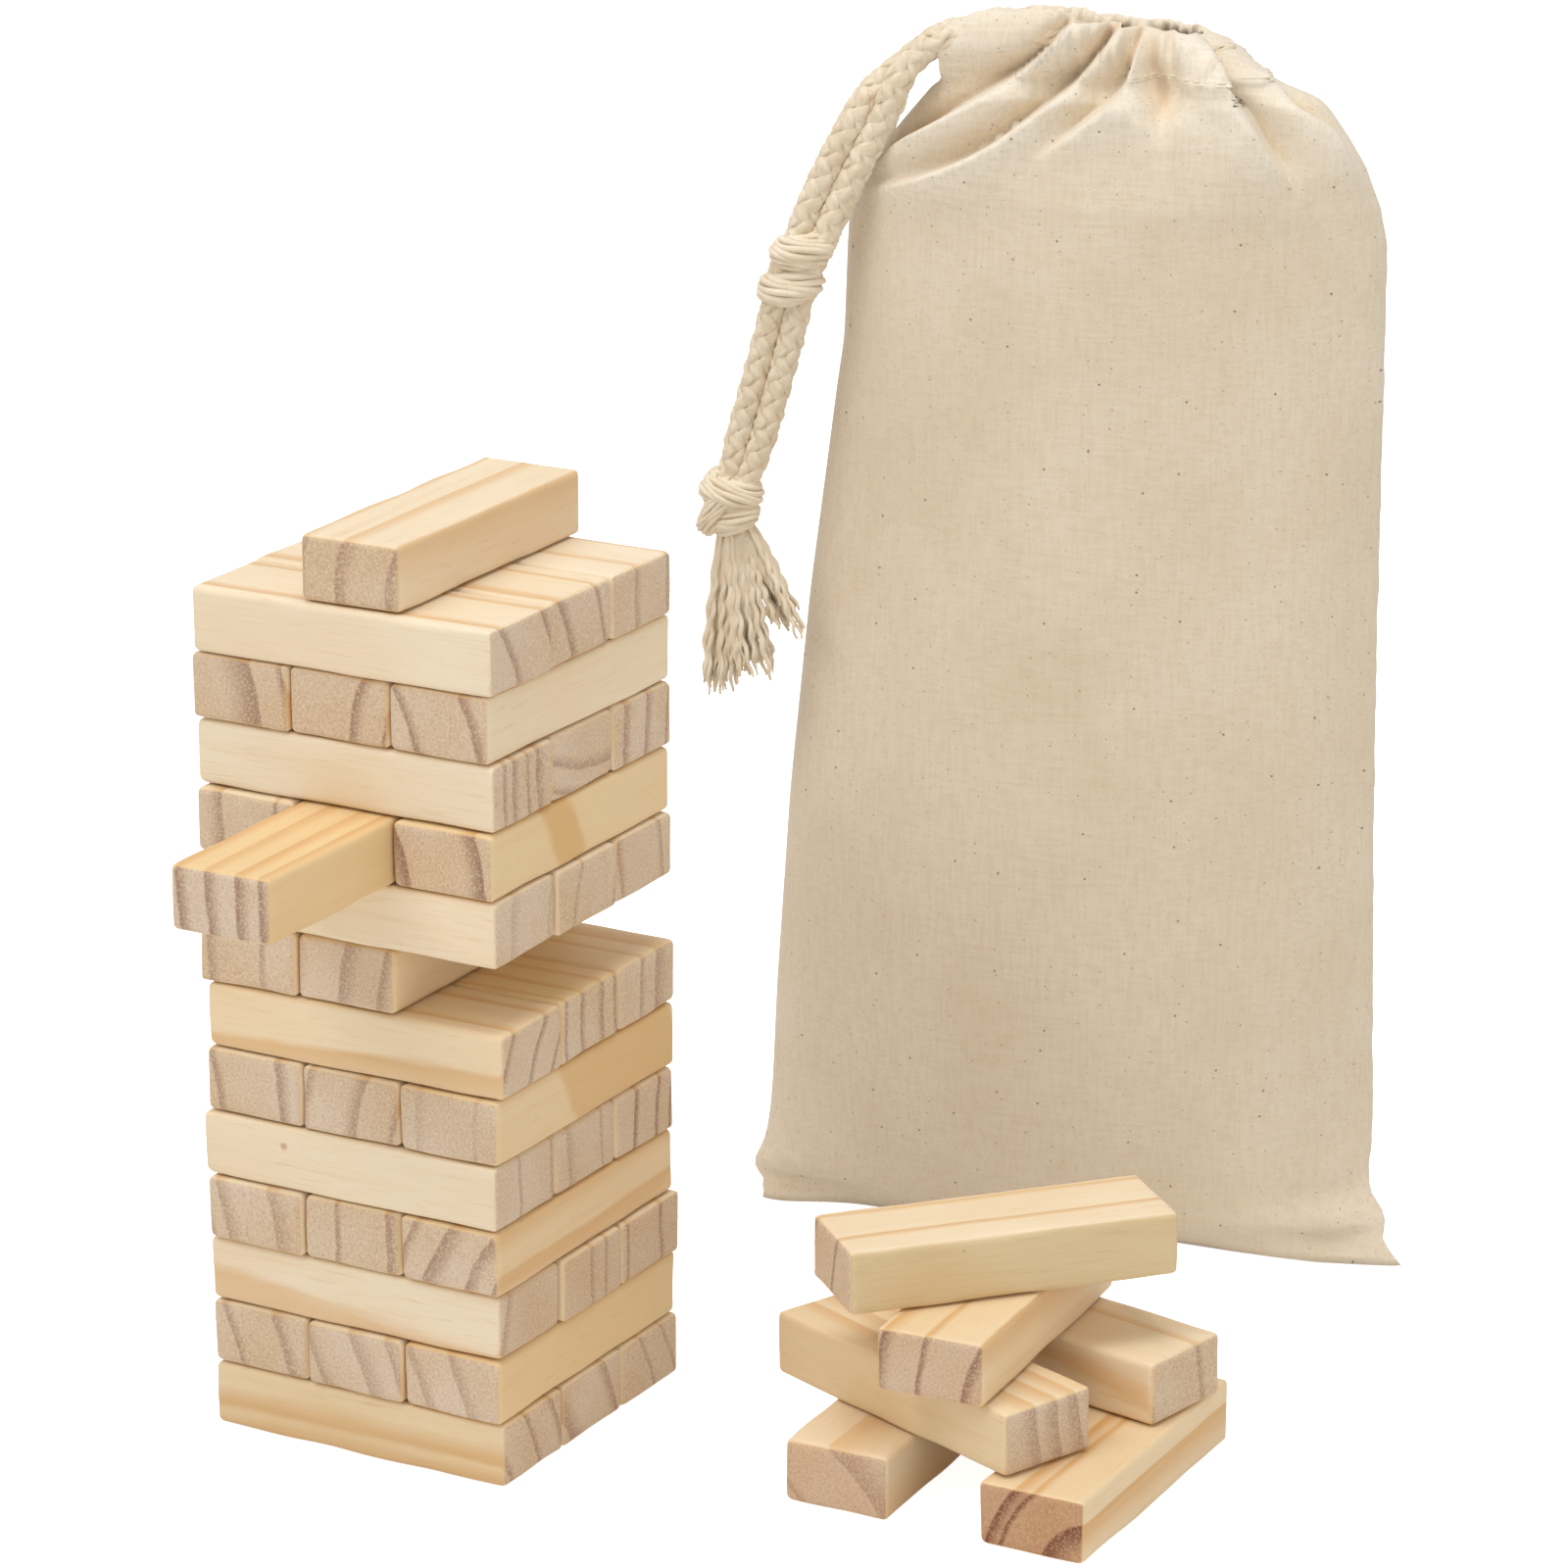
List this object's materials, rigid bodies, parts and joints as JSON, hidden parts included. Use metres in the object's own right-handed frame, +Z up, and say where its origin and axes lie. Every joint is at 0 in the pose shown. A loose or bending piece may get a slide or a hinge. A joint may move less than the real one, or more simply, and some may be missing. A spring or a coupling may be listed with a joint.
{
  "type": "stacking block tower game",
  "caption": "Table-top tower of wooden blocks laid crosswise in threes, with a heap of loose blocks and a cotton drawstring bag.",
  "frame": {"origin": "centre of the tower's footprint on the table", "axes": "+Z up, -Y out of the tower's front face, +X towards the heap of loose blocks"},
  "size_m": [0.1621, 0.2231, 0.2343],
  "materials": {
    "block_wood": "sanded unvarnished pine, pale cream faces with tan grain streaks and pinkish end grain",
    "cotton_cloth": "unbleached plain-weave cotton with scattered brown seed specks",
    "cotton_cord": "soft plaited natural cotton cord"
  },
  "bodies": {
    "tower_base": {"layer_01_block_a": "block_wood", "layer_01_block_b": "block_wood", "layer_01_block_c": "block_wood"},
    "layer_02_block_a": {"layer_02_block_a": "block_wood"},
    "layer_02_block_b": {"layer_02_block_b": "block_wood"},
    "layer_02_block_c": {"layer_02_block_c": "block_wood"},
    "layer_03_block_a": {"layer_03_block_a": "block_wood"},
    "layer_03_block_b": {"layer_03_block_b": "block_wood"},
    "layer_03_block_c": {"layer_03_block_c": "block_wood"},
    "layer_04_block_a": {"layer_04_block_a": "block_wood"},
    "layer_04_block_b": {"layer_04_block_b": "block_wood"},
    "layer_04_block_c": {"layer_04_block_c": "block_wood"},
    "layer_05_block_a": {"layer_05_block_a": "block_wood"},
    "layer_05_block_b": {"layer_05_block_b": "block_wood"},
    "layer_05_block_c": {"layer_05_block_c": "block_wood"},
    "layer_06_block_a": {"layer_06_block_a": "block_wood"},
    "layer_06_block_b": {"layer_06_block_b": "block_wood"},
    "layer_06_block_c": {"layer_06_block_c": "block_wood"},
    "layer_07_block_a": {"layer_07_block_a": "block_wood"},
    "layer_07_block_b": {"layer_07_block_b": "block_wood"},
    "layer_07_block_c": {"layer_07_block_c": "block_wood"},
    "layer_08_block_a": {"layer_08_block_a": "block_wood"},
    "layer_08_block_b": {"layer_08_block_b": "block_wood"},
    "layer_09_block_a": {"layer_09_block_a": "block_wood"},
    "layer_09_block_b": {"layer_09_block_b": "block_wood"},
    "layer_09_block_c": {"layer_09_block_c": "block_wood"},
    "layer_10_block_a": {"layer_10_block_a": "block_wood"},
    "layer_10_block_b": {"layer_10_block_b": "block_wood"},
    "layer_10_block_c": {"layer_10_block_c": "block_wood"},
    "layer_11_block_a": {"layer_11_block_a": "block_wood"},
    "layer_11_block_b": {"layer_11_block_b": "block_wood"},
    "layer_11_block_c": {"layer_11_block_c": "block_wood"},
    "layer_12_block_a": {"layer_12_block_a": "block_wood"},
    "layer_12_block_b": {"layer_12_block_b": "block_wood"},
    "layer_12_block_c": {"layer_12_block_c": "block_wood"},
    "layer_13_block_a": {"layer_13_block_a": "block_wood"},
    "layer_13_block_b": {"layer_13_block_b": "block_wood"},
    "layer_13_block_c": {"layer_13_block_c": "block_wood"},
    "top_block": {"top_block": "block_wood"},
    "loose_block_1": {"loose_block_1": "block_wood"},
    "loose_block_2": {"loose_block_2": "block_wood"},
    "loose_block_3": {"loose_block_3": "block_wood"},
    "loose_block_4": {"loose_block_4": "block_wood"},
    "loose_block_5": {"loose_block_5": "block_wood"},
    "loose_block_6": {"loose_block_6": "block_wood"},
    "bag": {"bag_body": "cotton_cloth", "bag_hem_channel": "cotton_cloth", "drawcord_loop": "cotton_cord"},
    "cord_ends": {"cord_entry_front": "cotton_cord", "cord_entry_back": "cotton_cord"},
    "cord_hanging": {"cord_upper_strand_front": "cotton_cord", "cord_upper_strand_back": "cotton_cord", "cord_upper_knot": "cotton_cord"},
    "cord_tail": {"cord_lower_strand_left": "cotton_cord", "cord_lower_strand_right": "cotton_cord", "cord_lower_knot": "cotton_cord", "cord_tassel": "cotton_cord"}
  },
  "joints": [
    {"name": "bag_lift", "type": "slide", "parent": "tower_base", "child": "bag", "axis": [0, 0, 1], "range_m": [0, 0.08]},
    {"name": "cord_swing", "type": "hinge", "parent": "cord_ends", "child": "cord_hanging", "pos_m": [0.03181, 0.12506, 0.2283], "axis": [-0.2362, 0.9717, 0], "range_deg": [0, 30]},
    {"name": "cord_tail_swing", "type": "hinge", "parent": "cord_hanging", "child": "cord_tail", "pos_m": [0.00902, 0.10872, 0.1735], "axis": [-0.9717, -0.2362, 0], "range_deg": [0, 25]},
    {"name": "drawcord_pull", "type": "slide", "parent": "bag", "child": "cord_ends", "axis": [-0.9717, -0.2362, 0], "range_m": [0, 0.014]},
    {"name": "loose_block_1_pull", "type": "slide", "parent": "tower_base", "child": "loose_block_1", "axis": [-0.0349, 0.9994, 0], "range_m": [-0.062, 0.04]},
    {"name": "loose_block_2_pull", "type": "slide", "parent": "tower_base", "child": "loose_block_2", "axis": [-0.0209, 0.9998, 0], "range_m": [-0.062, 0.04]},
    {"name": "loose_block_3_pull", "type": "slide", "parent": "tower_base", "child": "loose_block_3", "axis": [0.933, -0.36, 0], "range_m": [-0.016, 0.062]},
    {"name": "loose_block_4_pull", "type": "slide", "parent": "tower_base", "child": "loose_block_4", "axis": [0.9816, -0.1908, 0], "range_m": [-0.03, 0.062]},
    {"name": "loose_block_5_pull", "type": "slide", "parent": "tower_base", "child": "loose_block_5", "axis": [-0.075, 0.9972, 0], "range_m": [-0.062, 0.04]},
    {"name": "loose_block_6_lift", "type": "slide", "parent": "loose_block_5", "child": "loose_block_6", "axis": [0, 0, 1], "range_m": [0, 0.06]},
    {"name": "top_block_lift", "type": "slide", "parent": "tower_base", "child": "top_block", "axis": [0, 0, 1], "range_m": [0, 0.06]},
    {"name": "layer_10_block_a_push", "type": "slide", "parent": "tower_base", "child": "layer_10_block_a", "axis": [-0.0059, 1, 0], "range_m": [-0.062, 0.052]},
    {"name": "layer_10_block_b_push", "type": "slide", "parent": "tower_base", "child": "layer_10_block_b", "axis": [-0.0059, 1, 0], "range_m": [-0.025, 0.089]},
    {"name": "layer_10_block_c_push", "type": "slide", "parent": "tower_base", "child": "layer_10_block_c", "axis": [-0.0059, 1, 0], "range_m": [-0.062, 0.052]},
    {"name": "layer_09_block_a_push", "type": "slide", "parent": "tower_base", "child": "layer_09_block_a", "axis": [1, 0.0056, 0], "range_m": [-0.062, 0.062]},
    {"name": "layer_09_block_b_push", "type": "slide", "parent": "tower_base", "child": "layer_09_block_b", "axis": [1, 0.0056, 0], "range_m": [-0.062, 0.062]},
    {"name": "layer_09_block_c_push", "type": "slide", "parent": "tower_base", "child": "layer_09_block_c", "axis": [1, 0.0056, 0], "range_m": [-0.062, 0.062]},
    {"name": "layer_08_block_a_push", "type": "slide", "parent": "tower_base", "child": "layer_08_block_a", "axis": [0.0026, 1, 0], "range_m": [-0.062, 0.052]},
    {"name": "layer_08_block_b_push", "type": "slide", "parent": "tower_base", "child": "layer_08_block_b", "axis": [0.0026, 1, 0], "range_m": [-0.062, 0.052]},
    {"name": "layer_13_block_a_push", "type": "slide", "parent": "tower_base", "child": "layer_13_block_a", "axis": [1, -0.0038, 0], "range_m": [-0.062, 0.062]},
    {"name": "layer_13_block_b_push", "type": "slide", "parent": "tower_base", "child": "layer_13_block_b", "axis": [1, -0.0038, 0], "range_m": [-0.062, 0.062]},
    {"name": "layer_13_block_c_push", "type": "slide", "parent": "tower_base", "child": "layer_13_block_c", "axis": [1, -0.0038, 0], "range_m": [-0.062, 0.062]},
    {"name": "layer_07_block_a_push", "type": "slide", "parent": "tower_base", "child": "layer_07_block_a", "axis": [1, 0.0061, 0], "range_m": [-0.062, 0.062]},
    {"name": "layer_07_block_b_push", "type": "slide", "parent": "tower_base", "child": "layer_07_block_b", "axis": [1, 0.0061, 0], "range_m": [-0.062, 0.062]},
    {"name": "layer_07_block_c_push", "type": "slide", "parent": "tower_base", "child": "layer_07_block_c", "axis": [1, 0.0061, 0], "range_m": [-0.062, 0.062]},
    {"name": "layer_12_block_a_push", "type": "slide", "parent": "tower_base", "child": "layer_12_block_a", "axis": [0.0049, 1, 0], "range_m": [-0.062, 0.052]},
    {"name": "layer_12_block_b_push", "type": "slide", "parent": "tower_base", "child": "layer_12_block_b", "axis": [0.0049, 1, 0], "range_m": [-0.062, 0.052]},
    {"name": "layer_12_block_c_push", "type": "slide", "parent": "tower_base", "child": "layer_12_block_c", "axis": [0.0049, 1, 0], "range_m": [-0.062, 0.052]},
    {"name": "layer_11_block_a_push", "type": "slide", "parent": "tower_base", "child": "layer_11_block_a", "axis": [1, -0.005, 0], "range_m": [-0.062, 0.062]},
    {"name": "layer_11_block_b_push", "type": "slide", "parent": "tower_base", "child": "layer_11_block_b", "axis": [1, -0.005, 0], "range_m": [-0.062, 0.062]},
    {"name": "layer_11_block_c_push", "type": "slide", "parent": "tower_base", "child": "layer_11_block_c", "axis": [1, -0.005, 0], "range_m": [-0.062, 0.062]},
    {"name": "layer_02_block_a_push", "type": "slide", "parent": "tower_base", "child": "layer_02_block_a", "axis": [0.0039, 1, 0], "range_m": [-0.062, 0.052]},
    {"name": "layer_02_block_b_push", "type": "slide", "parent": "tower_base", "child": "layer_02_block_b", "axis": [0.0039, 1, 0], "range_m": [-0.062, 0.052]},
    {"name": "layer_02_block_c_push", "type": "slide", "parent": "tower_base", "child": "layer_02_block_c", "axis": [0.0039, 1, 0], "range_m": [-0.062, 0.052]},
    {"name": "layer_06_block_a_push", "type": "slide", "parent": "tower_base", "child": "layer_06_block_a", "axis": [-0.0002, 1, 0], "range_m": [-0.062, 0.052]},
    {"name": "layer_06_block_b_push", "type": "slide", "parent": "tower_base", "child": "layer_06_block_b", "axis": [-0.0002, 1, 0], "range_m": [-0.062, 0.052]},
    {"name": "layer_06_block_c_push", "type": "slide", "parent": "tower_base", "child": "layer_06_block_c", "axis": [-0.0002, 1, 0], "range_m": [-0.062, 0.052]},
    {"name": "layer_05_block_a_push", "type": "slide", "parent": "tower_base", "child": "layer_05_block_a", "axis": [1, -0.0038, 0], "range_m": [-0.062, 0.062]},
    {"name": "layer_05_block_b_push", "type": "slide", "parent": "tower_base", "child": "layer_05_block_b", "axis": [1, -0.0038, 0], "range_m": [-0.062, 0.062]},
    {"name": "layer_05_block_c_push", "type": "slide", "parent": "tower_base", "child": "layer_05_block_c", "axis": [1, -0.0038, 0], "range_m": [-0.062, 0.062]},
    {"name": "layer_04_block_a_push", "type": "slide", "parent": "tower_base", "child": "layer_04_block_a", "axis": [-0.0019, 1, 0], "range_m": [-0.062, 0.052]},
    {"name": "layer_04_block_b_push", "type": "slide", "parent": "tower_base", "child": "layer_04_block_b", "axis": [-0.0019, 1, 0], "range_m": [-0.062, 0.052]},
    {"name": "layer_04_block_c_push", "type": "slide", "parent": "tower_base", "child": "layer_04_block_c", "axis": [-0.0019, 1, 0], "range_m": [-0.062, 0.052]},
    {"name": "layer_03_block_a_push", "type": "slide", "parent": "tower_base", "child": "layer_03_block_a", "axis": [1, -0.005, 0], "range_m": [-0.062, 0.032]},
    {"name": "layer_03_block_b_push", "type": "slide", "parent": "tower_base", "child": "layer_03_block_b", "axis": [1, -0.005, 0], "range_m": [-0.062, 0.032]},
    {"name": "layer_03_block_c_push", "type": "slide", "parent": "tower_base", "child": "layer_03_block_c", "axis": [1, -0.005, 0], "range_m": [-0.062, 0.032]}
  ]
}
